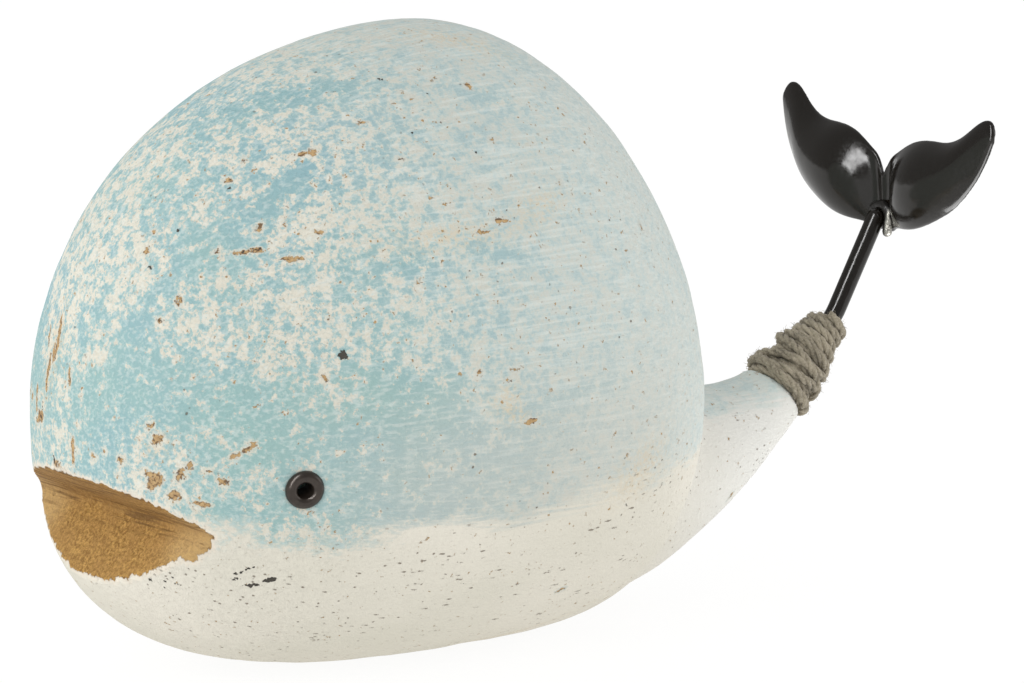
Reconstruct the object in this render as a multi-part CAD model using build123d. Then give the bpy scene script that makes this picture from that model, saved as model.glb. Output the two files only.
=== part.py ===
from build123d import *
import math
import os

# Whale ornament: a carved and painted wooden body with a steel tail.
# The tail is a bent rod seated in the wood, a formed sheet fluke welded to the
# rod, and twine wound over the joint. Two metal eyelets are the eyes.
# Sizes are millimetres. +Z is up and the head points to -X. The origin is on
# the resting face, under the widest section of the body, on the mid-plane.

# Carved body: a dome of half-ellipse sections along X
nose_length = 88.7
rump_length = 54.0
body_half_width = 57.0
waist_height = 49.0
crown_height = 77.8
keel_depth = 50.6
nose_crown_power = 2.25
rump_crown_power = 1.82
keel_power = 3.0
plan_power = 2.15
station_shares = (0.3, 0.58, 0.8, 0.93, 0.985)

# Mouth: a notch of two flat cuts that meet in a level corner line
mouth_corner_depth = 13.5
mouth_corner_height = 35.8
mouth_lip_angle = 33.0
mouth_chin_angle = 37.0
mouth_reach = 40.0

# Tail stump: a horn that curves up out of the rump to a round shoulder
stump_root_inset = 34.0
stump_root_height = 21.5
stump_root_angle = 4.0
stump_root_radius = 20.5
stump_overhang = 38.1
stump_end_height = 37.7
stump_end_radius = 7.3
spine_shares = (0.0, 0.25, 0.5, 0.75, 1.0)
taper_shares = (1.0, 1.02, 0.6, 0.2, 0.0)
stump_blend_radius = 18.0
tail_angle = 40.3

# Spigot under the twine, with the bore that the rod is seated in
spigot_length = 12.0
spigot_root_radius = 5.6
spigot_tip_radius = 3.6
rod_seat_depth = 20.0
rod_bore_clearance = 0.05

# Tail rod: straight out of the spigot, one bend, then a straight leg
rod_radius = 2.0
rod_bend_radius = 12.0
rod_leg_length = 23.2
rod_angle = 60.0

# Twine: one cord wound from the shoulder up onto the rod
twine_radius = 0.85
twine_sides = 8
twine_gap = 0.55
twine_clearance = 0.25
twine_turns = 9
drop_pitches = 1.5

# Fluke: two domed lobes of sheet either side of a valley
fluke_angle = 81.0
fluke_half_span = 34.2
fluke_height = 28.8
fluke_sheet = 1.2
fluke_dome = 5.0
fluke_valley = 3.4
rod_overlap = 3.4
rod_lift = 0.45
slot_clearance = 0.25
span_shares = (0.0, 0.12, 0.26, 0.41, 0.57, 0.71, 0.82, 0.91, 0.975, 1.0)
lower_edge_shares = (0.05, 0.055, 0.075, 0.11, 0.195, 0.3, 0.435, 0.59, 0.765, 0.85)
upper_edge_shares = (0.445, 0.625, 0.72, 0.765, 0.775, 0.835, 0.935, 0.995, 0.965, 0.9)
dome_shares = (0.04, 0.3, 0.85, 1.0, 0.88, 0.66, 0.42, 0.22, 0.1, 0.05)
lower_sink_shares = (1.0, 0.78, 0.3, 0.06, 0.0, 0.0, 0.0, 0.0, 0.0, 0.0)
upper_sink_shares = (0.24, 0.12, 0.03, 0.0, 0.0, 0.0, 0.0, 0.0, 0.0, 0.0)

# Weld bead that joins the rod's end to the fluke
weld_radius = 1.0
weld_start = 0.8
weld_offset = 2.9
weld_setback = 1.2

# Eyelets: a domed flange with a rolled lip and a barrel in a blind bore
eye_setback = 26.3
eye_height = 45.3
eye_yaw = 23.0
eye_droop = 7.5
eyelet_flange_radius = 3.9
eyelet_dome_height = 1.35
eyelet_hole_radius = 1.65
eyelet_lip_height = 0.8
eyelet_barrel_radius = 2.2
eyelet_barrel_length = 5.0
eyelet_sink = 0.35
eyelet_clearance = 0.1

EAST = Vector(1, 0, 0)
SIDE = Vector(0, 1, 0)
UP = Vector(0, 0, 1)
centred_on_base = (Align.CENTER, Align.CENTER, Align.MIN)


def swell(share, power):
    """Half-size, as a share of the widest, at a share of the way to the end."""
    return (1 - share**power) ** (1 / power)


def rising(angle):
    """Unit vector in the mid-plane, at an angle above the tail direction."""
    return EAST * math.cos(math.radians(angle)) + UP * math.sin(math.radians(angle))


def dome_section(x, share):
    """Upper and lower half-ellipse, joined at the waist line."""
    half_width = body_half_width * swell(share, plan_power)
    crown_power = nose_crown_power if x < 0 else rump_crown_power
    rise = crown_height * swell(share, crown_power)
    fall = keel_depth * swell(share, keel_power)
    crown = EllipticalCenterArc((0, 0), half_width, rise, start_angle=0, arc_size=180)
    keel = EllipticalCenterArc((0, 0), half_width, fall, start_angle=180, arc_size=180)
    plane = Plane(origin=(x, 0, waist_height), x_dir=SIDE, z_dir=EAST)
    return plane * make_face([crown, keel])


def make_dome():
    """The rounded body, cut flat where it rests."""
    nose = [dome_section(-nose_length * share, share) for share in reversed(station_shares)]
    rump = [dome_section(rump_length * share, share) for share in station_shares]
    nose_tip = Vertex(-nose_length, 0, waist_height)
    rump_tip = Vertex(rump_length, 0, waist_height)
    dome = loft([nose_tip, *nose, dome_section(0, 0), *rump, rump_tip])
    below = Box(
        nose_length + nose_length,
        body_half_width + body_half_width,
        keel_depth,
        align=(Align.CENTER, Align.CENTER, Align.MAX),
    )
    return dome - below


stump_end = EAST * (rump_length + stump_overhang) + UP * stump_end_height
tail_axis = rising(tail_angle)
tail_plane = Plane(origin=stump_end, x_dir=SIDE, z_dir=tail_axis)


def stump_spine(share):
    """Point and direction on the curve from the root to the shoulder."""
    root = EAST * (rump_length - stump_root_inset) + UP * stump_root_height
    root_axis = rising(stump_root_angle)
    span = stump_end - root
    turn = root_axis.cross(tail_axis).Y
    reach = span.cross(tail_axis).Y / turn
    bend = root + root_axis * reach
    here = root * (1 - share) ** 2 + bend * (2 * share * (1 - share)) + stump_end * share**2
    heading = (bend - root) * (1 - share) + (stump_end - bend) * share
    return here, heading.normalized()


def make_stump():
    """The horn, lofted through circles square to its spine."""
    sections = []
    for spine_share, taper_share in zip(spine_shares, taper_shares):
        here, heading = stump_spine(spine_share)
        radius = stump_end_radius + (stump_root_radius - stump_end_radius) * taper_share
        sections.append(Plane(origin=here, x_dir=SIDE, z_dir=heading) * Circle(radius))
    spigot = Cone(spigot_root_radius, spigot_tip_radius, spigot_length, align=centred_on_base)
    return loft(sections) + tail_plane * spigot


def make_mouth_cutter():
    """Wedge across the body: a short lip face above, the chin face below."""
    corner = Vector(mouth_corner_depth - nose_length, mouth_corner_height)
    lip = corner + Vector(-mouth_reach, 0).rotate(Axis.Z, -mouth_lip_angle)
    chin = corner + Vector(0, -mouth_reach).rotate(Axis.Z, -mouth_chin_angle)
    wedge = make_face(Polyline(corner, lip, chin, close=True))
    return extrude(Plane.XZ * wedge, body_half_width, both=True)


def eye_plane(dome, side):
    """Plane just under the skin where an eyelet sits, facing out and a little down."""
    line = Axis((eye_setback - nose_length, 0, eye_height), SIDE * side)
    skin_point, skin_normal = dome.find_intersection_points(line)[-1]
    level = SIDE * side * math.cos(math.radians(eye_yaw)) - EAST * math.sin(math.radians(eye_yaw))
    droop = math.radians(eye_droop)
    facing = level * math.cos(droop) - UP * math.sin(droop)
    return Plane(origin=skin_point - skin_normal * eyelet_sink, z_dir=facing)


def make_eye_cutter(plane):
    """Flat seat for the flange, and the blind bore for the barrel."""
    seat = Cylinder(
        eyelet_flange_radius + eyelet_clearance, eyelet_barrel_length, align=centred_on_base
    )
    bore = Cylinder(
        eyelet_barrel_radius + eyelet_clearance,
        eyelet_barrel_length + eyelet_barrel_radius,
        align=(Align.CENTER, Align.CENTER, Align.MAX),
    )
    return plane * (seat + bore)


def make_eyelet(plane):
    """Domed ring, rolled into a lip at the hole, on a tubular barrel."""
    crest_radius = (eyelet_hole_radius + eyelet_flange_radius) / 2
    rim = (eyelet_flange_radius, 0)
    crest = (crest_radius, eyelet_dome_height)
    lip = (eyelet_hole_radius, eyelet_lip_height)
    outline = [
        ThreePointArc(rim, crest, lip),
        Polyline(
            lip,
            (eyelet_hole_radius, -eyelet_barrel_length),
            (eyelet_barrel_radius, -eyelet_barrel_length),
            (eyelet_barrel_radius, 0),
            rim,
        ),
    ]
    return plane * revolve(Plane.XZ * make_face(outline), Axis.Z)


wrap_pitch = twine_radius + twine_radius + twine_gap
wrap_start = twine_radius + twine_clearance
wrap_length = wrap_start + twine_turns * wrap_pitch + twine_radius
rod_corner = stump_end + tail_axis * wrap_length
rod_axis = rising(rod_angle)
rod_end = rod_corner + rod_axis * rod_leg_length


def make_rod():
    """Bent round bar with a rounded upper end."""
    rod_start = stump_end + tail_axis * (spigot_length - rod_seat_depth)
    path = FilletPolyline(rod_start, rod_corner, rod_end, radius=rod_bend_radius)
    profile = Plane(origin=rod_start, z_dir=tail_axis) * Circle(rod_radius)
    cap = Plane(origin=rod_end, z_dir=rod_axis) * Sphere(rod_radius)
    return sweep(profile, path=path) + cap


def make_rod_bore():
    """Blind bore for the rod, open at the spigot's tip."""
    bore = Cylinder(
        rod_radius + rod_bore_clearance,
        rod_seat_depth + rod_bore_clearance,
        align=(Align.CENTER, Align.CENTER, Align.MAX),
    )
    return tail_plane * Pos(0, 0, spigot_length) * bore


def wind_radius(height):
    """Radius of the twine's centre line at a height above the shoulder."""
    share = min(height / spigot_length, 1)
    on_spigot = spigot_root_radius + (spigot_tip_radius - spigot_root_radius) * share
    past_tip = (height - spigot_length - twine_radius) / (drop_pitches * wrap_pitch)
    drop = (1 - math.cos(math.pi * min(max(past_tip, 0), 1))) / 2
    core = on_spigot + (rod_radius - on_spigot) * drop
    return core + twine_clearance + twine_radius


def wind_point(turns):
    """Point of the twine's centre line after a number of turns."""
    height = wrap_start + turns * wrap_pitch
    radius = wind_radius(height)
    angle = 2 * math.pi * turns
    return Vector(radius * math.cos(angle), radius * math.sin(angle), height)


def wind_heading(turns):
    """Direction of the winding there."""
    nudge = 0.002
    return (wind_point(turns + nudge) - wind_point(turns - nudge)).normalized()


def biarc(start, start_heading, end, end_heading):
    """Two arcs that leave and arrive in the given directions."""
    chord = end - start
    both = start_heading + end_heading
    bend = 2 * (1 - start_heading.dot(end_heading))
    along = chord.dot(both)
    arm = (math.sqrt(along**2 + bend * chord.dot(chord)) - along) / bend
    before = start + start_heading * arm
    after = end - end_heading * arm
    middle = (before + after) / 2
    return [
        TangentArc(start, middle, tangent=start_heading),
        TangentArc(middle, end, tangent=after - before),
    ]


def make_twine():
    """The wound cord: quarter-turn biarcs of a many-sided section, with straight ends."""
    quarters = 4
    tail = 2 * twine_radius
    first = wind_point(0)
    last = wind_point(twine_turns)
    run_in = first - wind_heading(0) * tail
    run_out = last + wind_heading(twine_turns) * tail
    edges = [Line(run_in, first)]
    for step in range(twine_turns * quarters):
        here = step / quarters
        there = (step + 1) / quarters
        edges += biarc(
            wind_point(here), wind_heading(here), wind_point(there), wind_heading(there)
        )
    edges.append(Line(last, run_out))
    section = RegularPolygon(twine_radius, twine_sides)
    profile = Plane(origin=run_in, z_dir=wind_heading(0)) * section
    return tail_plane * sweep(profile, path=Wire(edges))


def twine_self_gap():
    """Least space between neighbouring turns, measured on points."""
    samples = 48
    points = [wind_point(step / samples) for step in range(twine_turns * samples + 1)]
    nearest = min(
        (points[i] - points[j]).length
        for i in range(len(points))
        for j in range(i + samples // 2, len(points))
    )
    return nearest - 2 * twine_radius


# Fluke frame: x to the left side, y up the sheet, z out of its front
fluke_up = rising(fluke_angle)
fluke_front = rising(fluke_angle + 90)
fluke_foot = rod_end - fluke_up * rod_overlap - fluke_front * rod_lift
fluke_plane = Plane(origin=fluke_foot, x_dir=-SIDE, z_dir=fluke_front)


def lobe_section(side, span, lower, upper, dome, lower_sink, upper_sink):
    """Crescent of sheet, from the lower edge to the upper edge."""
    low = Vector(fluke_height * lower, -fluke_valley * lower_sink)
    high = Vector(fluke_height * upper, -fluke_valley * upper_sink)
    crest = (low + high) / 2 + Vector(0, fluke_dome * dome)
    sheet = Vector(0, fluke_sheet)
    back = ThreePointArc(low, crest, high)
    front = ThreePointArc(low + sheet, crest + sheet, high + sheet)
    ends = [Line(low, low + sheet), Line(high, high + sheet)]
    plane = Plane(origin=(side * fluke_half_span * span, 0, 0), x_dir=SIDE, z_dir=EAST)
    return fluke_plane * plane * make_face([back, front, *ends])


def make_slot_cutter():
    """Room for the rod's rounded end, let into the foot of the fluke."""
    slot_radius = rod_radius + slot_clearance
    shank = Cylinder(slot_radius, rod_leg_length, align=(Align.CENTER, Align.CENTER, Align.MAX))
    return Plane(origin=rod_end, z_dir=rod_axis) * (Sphere(slot_radius) + shank)


def make_fluke():
    """Both lobes, lofted from the valley to the tip, with the slot for the rod."""
    edges = (lower_edge_shares, upper_edge_shares)
    sinks = (lower_sink_shares, upper_sink_shares)
    stations = list(zip(span_shares, *edges, dome_shares, *sinks))
    lobes = [loft([lobe_section(side, *station) for station in stations]) for side in (-1, 1)]
    return lobes[0] + lobes[1] - make_slot_cutter()


def make_weld(rod, fluke):
    """Bead laid round the rod's end, in the angle between rod and sheet."""
    left = Vector(-weld_offset, rod_overlap)
    top = Vector(0, rod_overlap + weld_offset)
    right = Vector(weld_offset, rod_overlap)
    left_foot = Vector(-weld_offset, weld_start)
    right_foot = Vector(weld_offset, weld_start)
    path = [Line(left_foot, left), ThreePointArc(left, top, right), Line(right, right_foot)]
    profile = Plane(origin=left_foot, z_dir=SIDE) * Circle(weld_radius)
    bead = sweep(profile, path=Wire(path))
    for foot in (left_foot, right_foot):
        bead += Pos(foot.X, foot.Y, 0) * Sphere(weld_radius)
    return fluke_plane * Pos(0, 0, rod_lift - weld_setback) * bead - rod - fluke


dome = make_dome()
eye_planes = {"left": eye_plane(dome, -1), "right": eye_plane(dome, 1)}
rod = make_rod()
fluke = make_fluke()

stump = make_stump()
block = dome + stump
block = fillet(new_edges(dome, stump, combined=block), stump_blend_radius)
body = block - make_mouth_cutter() - make_rod_bore()
for plane in eye_planes.values():
    body -= make_eye_cutter(plane)

pieces = {
    "body": body,
    "tail_rod": rod,
    "fluke": fluke,
    "tail_weld": make_weld(rod, fluke),
    "twine_wrap": make_twine(),
}
for name, plane in eye_planes.items():
    pieces[f"eyelet_{name}"] = make_eyelet(plane)

print(f"twine: least gap to itself {twine_self_gap():.2f} mm over {twine_turns} turns")
os.makedirs("parts", exist_ok=True)
for name, piece in pieces.items():
    export_step(piece, f"parts/{name}.step")
    print(name, "solids", len(piece.solids()), "volume", round(piece.volume, 1))
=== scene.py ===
# %% [markdown]
# # A carved wooden whale with a bound metal tail
#
# The real ornament is one block of light wood, carved round, painted cream and
# then pale blue, and rubbed back until both coats are worn through in places.
# A bent black rod comes out of the tail, bound to the wood with jute twine, and
# ends in a black fluke of two domed lobes. Metal eyelets are the eyes.
#
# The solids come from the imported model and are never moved. This lesson gives
# each of them its finish, and makes the parts that a plain solid can't show.

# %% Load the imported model
import math

import bpy
import bmesh
import numpy as np
from mathutils import Matrix, Vector, noise
from mathutils.bvhtree import BVHTree
from mathutils.kdtree import KDTree


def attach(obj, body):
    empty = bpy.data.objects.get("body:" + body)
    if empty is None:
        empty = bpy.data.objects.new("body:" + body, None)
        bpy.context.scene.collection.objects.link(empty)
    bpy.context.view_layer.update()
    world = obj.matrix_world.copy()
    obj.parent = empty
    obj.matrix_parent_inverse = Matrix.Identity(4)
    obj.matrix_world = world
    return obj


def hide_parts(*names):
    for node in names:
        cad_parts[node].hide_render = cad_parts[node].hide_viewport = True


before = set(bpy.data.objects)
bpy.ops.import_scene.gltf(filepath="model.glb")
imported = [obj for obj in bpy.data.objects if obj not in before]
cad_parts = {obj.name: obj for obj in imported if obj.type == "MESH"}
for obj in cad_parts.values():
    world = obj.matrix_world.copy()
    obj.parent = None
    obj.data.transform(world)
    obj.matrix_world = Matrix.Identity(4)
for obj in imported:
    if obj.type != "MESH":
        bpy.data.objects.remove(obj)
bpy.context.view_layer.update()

MM = 0.001
print("solids:", sorted(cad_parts))

# %% [markdown]
# ## Helpers
#
# Blender keeps colours linear, and a painter's colours are sRGB hex values, so
# one function turns one into the other. Node trees are long to write by hand,
# so one function adds a node of any kind with its settings and its links, and
# the part of it that fills sockets serves the nodes that Blender made itself.

# %% Colours and nodes
def colour(hex_value):
    """Linear RGBA of an sRGB hex colour."""
    channels = [int(hex_value[place:place + 2], 16) / 255 for place in (1, 3, 5)]
    linear = [c / 12.92 if c <= 0.04045 else ((c + 0.055) / 1.055) ** 2.4 for c in channels]
    return (*linear, 1.0)


def plug(tree, node, sockets):
    """Fill sockets. Each takes a value, an output, or a node for its first output."""
    for key, value in sockets.items():
        named = [socket for socket in node.inputs if socket.enabled and socket.name == key]
        socket = named[0] if named else node.inputs[key]
        if isinstance(value, bpy.types.Node):
            value = next(output for output in value.outputs if output.enabled)
        if isinstance(value, bpy.types.NodeSocket):
            tree.links.new(value, socket)
        else:
            socket.default_value = value


def add(tree, kind, sockets=None, **settings):
    """Add a node with its settings and what its sockets take."""
    node = tree.nodes.new(kind)
    for name, value in settings.items():
        setattr(node, name, value)
    plug(tree, node, sockets or {})
    return node


NOISE, VORONOI = "ShaderNodeTexNoise", "ShaderNodeTexVoronoi"
MATH, VECTOR = "ShaderNodeMath", "ShaderNodeVectorMath"
RANGE, MIX = "ShaderNodeMapRange", "ShaderNodeMix"
MAPPING, STORED, BUMP = "ShaderNodeMapping", "ShaderNodeAttribute", "ShaderNodeBump"


def new_material(name):
    """An empty material, its node tree, and the shader that its surface ends in."""
    material = bpy.data.materials.new(name)
    material.use_nodes = True
    tree = material.node_tree
    shader = next(node for node in tree.nodes if node.type == "BSDF_PRINCIPLED")
    return material, tree, shader


# %% [markdown]
# A solid arrives as loose triangles. A merged copy has joined corners, so it
# can be shaded smooth, remeshed or displaced, and the solid itself stays as it is.

# %% Copies of the solids
def show(name, data):
    """A new object in the scene, at the origin."""
    piece = bpy.data.objects.new(name, data)
    bpy.context.scene.collection.objects.link(piece)
    return piece


def merged_copy(node, name):
    """The solid's shape as one joined mesh."""
    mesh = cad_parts[node].data.copy()
    mesh.materials.clear()
    build = bmesh.new()
    build.from_mesh(mesh)
    bmesh.ops.remove_doubles(build, verts=build.verts, dist=0.002 * MM)
    build.to_mesh(mesh)
    build.free()
    return show(name, mesh)


def settle(piece, name):
    """Swap a piece that has modifiers for a plain mesh of what they made."""
    graph = bpy.context.evaluated_depsgraph_get()
    mesh = bpy.data.meshes.new_from_object(piece.evaluated_get(graph))
    bpy.data.objects.remove(piece)
    mesh.shade_smooth()
    return show(name, mesh)


def even_squares(piece, cell):
    """Remesh into even squares, which rounds each edge by about one square."""
    modifier = piece.modifiers.new("even_squares", "REMESH")
    modifier.mode = "VOXEL"
    modifier.voxel_size = cell
    return settle(piece, piece.name)


def hand_in(piece, slot, material, *nodes):
    """Give a piece its finish and its place in the assembly."""
    piece.data.materials.clear()
    piece.data.materials.append(material)
    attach(piece, "root")
    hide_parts(*nodes)
    triangles = sum(len(face.vertices) - 2 for face in piece.data.polygons)
    print(f"{piece.name}: {triangles} triangles, stands for {', '.join(nodes)}")


# %% [markdown]
# ## The camera
#
# The object was seen from its left, ahead of the side, and a little from above.
# The camera is made first, because the marks in the paint are placed by the
# points of the picture that they show at.

# %% Camera
picture_width, picture_height = 1024, 683
view_azimuth = math.radians(-38.0)
view_elevation = math.radians(11.5)
view_distance = 1.5
view_target = Vector((21.95, 0.0, 57.51)) * MM
lens_mm, sensor_mm = 255.8, 36.0

toward_camera = Vector((
    math.sin(view_azimuth) * math.cos(view_elevation),
    -math.cos(view_azimuth) * math.cos(view_elevation),
    math.sin(view_elevation),
))
picture_right = Vector((math.cos(view_azimuth), math.sin(view_azimuth), 0))
picture_up = toward_camera.cross(picture_right)

camera = show("camera", bpy.data.cameras.new("camera"))
camera.location = view_target + toward_camera * view_distance
camera.rotation_euler = (-toward_camera).to_track_quat("-Z", "Y").to_euler()
camera.data.lens = lens_mm
camera.data.sensor_width = sensor_mm
camera.data.clip_end = 20
bpy.context.scene.camera = camera


def sight_line(x, y):
    """Direction from the camera through a point of the picture."""
    focal = lens_mm / sensor_mm * picture_width
    across = picture_right * (x - picture_width / 2)
    upward = picture_up * (picture_height / 2 - y)
    return (across + upward - toward_camera * focal).normalized()


# %% [markdown]
# ## The carved body
#
# The block was rasped and sanded by hand, so its curves are never quite even.
# The solid is exact, so its copy is remeshed into small squares and moved in
# and out by a slow noise. Geometry Nodes do this, because one rule holds all
# over, and its depth and size stay named inputs.

# %% Hand relief
def relief_tree():
    """Geometry Nodes that move a surface in and out by a noise."""
    tree = bpy.data.node_groups.new("hand_relief", "GeometryNodeTree")
    face = tree.interface
    face.new_socket("Geometry", in_out="INPUT", socket_type="NodeSocketGeometry")
    for name in ("Depth", "Size"):
        face.new_socket(name, in_out="INPUT", socket_type="NodeSocketFloat")
    face.new_socket("Geometry", in_out="OUTPUT", socket_type="NodeSocketGeometry")
    given = add(tree, "NodeGroupInput").outputs
    scale = add(tree, MATH, {0: 1.0, 1: given["Size"]}, operation="DIVIDE")
    bumps = add(tree, NOISE, {"Scale": scale, "Detail": 2.0})
    centred = add(tree, MATH, {0: bumps, 1: 0.5}, operation="SUBTRACT")
    depth = add(tree, MATH, {0: centred, 1: given["Depth"]}, operation="MULTIPLY")
    normal = add(tree, "GeometryNodeInputNormal")
    offset = add(tree, VECTOR, {0: normal, "Scale": depth}, operation="SCALE")
    moved = add(tree, "GeometryNodeSetPosition", {"Geometry": given["Geometry"], "Offset": offset})
    add(tree, "NodeGroupOutput", {"Geometry": moved})
    return tree


def set_inputs(modifier, values):
    """Set a Geometry Nodes modifier's inputs by the names of their sockets."""
    for item in modifier.node_group.interface.items_tree:
        if item.in_out == "INPUT" and item.name in values:
            modifier[item.identifier] = values[item.name]


hand_relief = relief_tree()


def roughen(piece, name, depth, size):
    """Make a surface uneven by up to a depth, in bumps of a size."""
    modifier = piece.modifiers.new("hand_relief", "NODES")
    modifier.node_group = hand_relief
    set_inputs(modifier, {"Depth": depth, "Size": size})
    return settle(piece, name)


# %% Body mesh
body_cell = 1.0 * MM
hand_depth, hand_size = 0.9 * MM, 17 * MM
exact_body = merged_copy("body", "exact_body")
body_surface = BVHTree.FromPolygons(
    [corner.co for corner in exact_body.data.vertices],
    [face.vertices for face in exact_body.data.polygons],
)
carved_body = roughen(even_squares(exact_body, body_cell), "carved_body", hand_depth, hand_size)
print("body corners:", len(carved_body.data.vertices))

# %% [markdown]
# ## Marks in the paint
#
# Some wear is a single chip, dent or crack that someone would know the object
# by. Each is a small ellipse on the surface, placed by the point of the picture
# where it shows, and its ragged edge comes later. The side that the picture
# doesn't show gets the same kinds of marks, set off from these a little.

# %% Chips down to the wood, and dark dents and cracks
# Each has x and y in the picture, half-length and half-width in mm, and a tilt.
bare_marks = [
    (155, 481, 2.3, 1.3, 40), (150, 475, 1.3, 0.7, -20), (174, 496, 1.3, 1.1, 0),
    (181, 475, 1.4, 0.9, 50), (190, 466, 1.0, 0.5, 40), (223, 481, 1.2, 0.6, 0),
    (208, 472, 1.2, 0.4, 20), (201, 504, 2.2, 0.45, -5), (73, 450, 3.0, 0.5, 80),
    (58, 467, 1.6, 1.2, 0), (66, 474, 1.4, 0.7, 0), (157, 440, 1.5, 1.0, 30),
    (121, 460, 0.8, 0.7, 0), (94, 457, 1.0, 0.6, -40), (104, 450, 0.5, 0.4, 0),
    (250, 448, 1.6, 0.7, 35), (236, 456, 1.4, 0.3, 20), (118, 477, 0.5, 0.3, 0),
    (48, 372, 4.2, 0.55, 78), (53, 355, 2.2, 0.45, 72), (70, 376, 2.4, 0.3, 62),
    (150, 425, 0.9, 0.4, 20), (306, 154, 2.2, 0.5, 8), (314, 151, 0.9, 0.6, 0),
    (227, 181, 0.8, 0.6, 30), (243, 160, 0.5, 0.7, -20), (363, 122, 0.9, 0.35, -8),
    (401, 92, 0.5, 0.4, 0), (400, 159, 0.6, 0.45, 10), (147, 250, 0.6, 0.7, 0),
    (179, 301, 0.6, 0.9, 20), (160, 320, 0.5, 0.5, 0), (154, 231, 0.45, 0.4, 0),
    (260, 227, 0.7, 0.3, 60), (257, 229, 0.6, 0.3, -60), (330, 319, 0.5, 0.45, 0),
    (325, 377, 0.6, 0.5, 0), (319, 232, 0.8, 0.4, 0), (292, 259, 2.4, 0.45, 4),
    (468, 85, 0.7, 1.0, 30), (434, 78, 0.5, 0.4, 0), (493, 140, 0.5, 0.6, 0),
    (560, 183, 0.5, 0.35, 0), (502, 221, 2.0, 0.35, 6), (482, 232, 2.0, 0.2, 10),
    (419, 282, 0.6, 0.5, 20), (479, 371, 0.6, 0.5, 0), (508, 380, 1.1, 0.35, 25),
    (531, 421, 1.7, 0.4, 5), (250, 251, 4.0, 0.42, 6), (218, 253, 0.8, 0.4, 0),
    (560, 590, 1.2, 0.4, 15), (735, 497, 0.9, 0.4, 10), (641, 226, 0.9, 0.25, -60),
]
dark_marks = [
    (343, 355, 0.95, 0.9, 0), (381, 79, 0.8, 0.3, -20), (341, 81, 0.5, 0.16, 15),
    (332, 92, 0.4, 0.25, 0), (326, 95, 0.45, 0.16, 30), (150, 267, 0.4, 0.3, 0),
    (178, 230, 0.4, 0.35, 0), (201, 238, 0.35, 0.2, 60), (428, 93, 0.3, 0.25, 0),
    (477, 153, 0.45, 0.3, 0), (252, 250, 3.0, 0.15, 6), (413, 134, 0.3, 0.3, 0),
    (232, 188, 2.4, 0.14, 14), (240, 573, 1.5, 0.3, 22), (250, 568, 1.3, 0.28, 25),
    (252, 586, 2.0, 0.34, 4), (270, 580, 1.7, 0.32, 16), (54, 458, 1.8, 0.18, 55),
    (322, 549, 0.35, 0.25, 0), (459, 584, 0.2, 0.2, 0), (464, 583, 0.2, 0.2, 0),
    (584, 216, 0.5, 0.14, 70), (627, 505, 0.3, 0.25, 0), (593, 521, 0.35, 0.3, 0),
    (58, 466, 0.9, 0.2, 35), (170, 432, 0.3, 0.2, 0), (218, 401, 0.3, 0.3, 0),
    (155, 574, 0.5, 0.2, 0), (165, 581, 0.6, 0.2, 0), (173, 578, 0.4, 0.2, 20),
    (147, 572, 0.5, 0.2, 30), (160, 569, 0.5, 0.2, 0), (150, 580, 0.6, 0.2, -20),
    (176, 584, 0.6, 0.22, 10), (166, 588, 0.4, 0.2, 0), (236, 579, 0.9, 0.2, 10),
]
print("chips:", len(bare_marks), " dents and cracks:", len(dark_marks))

# %% From the picture onto the wood
middle_x, middle_y = 380, 350
twin_pull, twin_shift = 0.12, 16
inward = 0.01


def surface_at(x, y):
    """Point and normal of the body, in mm, that shows at or just inside a point."""
    place = None
    while place is None:
        place, normal, _, _ = body_surface.ray_cast(camera.location, sight_line(x, y))
        x, y = x + inward * (middle_x - x), y + inward * (middle_y - y)
    return place / MM, normal


def both_sides(x, y):
    """The place that shows, and one like it on the hidden side, set off a little."""
    mirror = Vector((1, -1, 1))
    twin_x = x + twin_pull * (middle_x - x) + twin_shift
    twin_y = y + twin_pull * (middle_y - y) - twin_shift
    twin, twin_normal = surface_at(twin_x, twin_y)
    return [surface_at(x, y), (twin * mirror, twin_normal * mirror)]


def lie_on(normal, tilt):
    """Axes on the surface, the first of which rises by a tilt from the picture's level."""
    angle = math.radians(tilt)
    level = picture_right * math.cos(angle) + picture_up * math.sin(angle)
    if normal.y > 0:
        level = Vector((level.x, -level.y, level.z))
    along = (level - normal * level.dot(normal)).normalized()
    return np.array(Matrix((along, normal.cross(along), normal)).transposed())


# %% Cut the mesh finer round each mark
def finer_near(piece, marks, margin):
    """Cut in half the edges near the marks, so that small ones keep their shape."""
    spots = [
        (place, max(mark[2:4]) + margin)
        for mark in marks for place, _ in both_sides(*mark[:2])
    ]
    tree = KDTree(len(spots))
    for index, (place, _) in enumerate(spots):
        tree.insert(place * MM, index)
    tree.balance()
    build = bmesh.new()
    build.from_mesh(piece.data)
    chosen = []
    for edge in build.edges:
        _, index, distance = tree.find(edge.verts[0].co)
        if distance < spots[index][1] * MM:
            chosen.append(edge)
    bmesh.ops.subdivide_edges(build, edges=chosen, cuts=1, use_grid_fill=True)
    build.to_mesh(piece.data)
    build.free()
    piece.data.shade_smooth()
    return len(chosen)


print("edges cut:", finer_near(carved_body, bare_marks + dark_marks, margin=0.5))

corner_count = len(carved_body.data.vertices)
corners = np.empty(corner_count * 3)
carved_body.data.vertices.foreach_get("co", corners)
corners = corners.reshape(-1, 3) / MM
normals = np.empty(corner_count * 3)
carved_body.data.vertices.foreach_get("normal", normals)
normals = normals.reshape(-1, 3)


kept_names = []


def keep_on_corners(name, values):
    """Store one number for each corner of the body's mesh, for the shader to read."""
    kept_names.append(name)
    layer = carved_body.data.attributes.new(name, "FLOAT", "POINT")
    layer.data.foreach_set("value", np.asarray(values, dtype=np.float32))


def slow_noise(size, stretch=1.0, octaves=3):
    """A noise between about -1 and 1 at each corner, in mm, drawn out along the grain."""
    scaled = corners / (size * stretch, size, size)
    return np.array([noise.fractal(place, 0.8, 2.0, octaves) for place in scaled])


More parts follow.
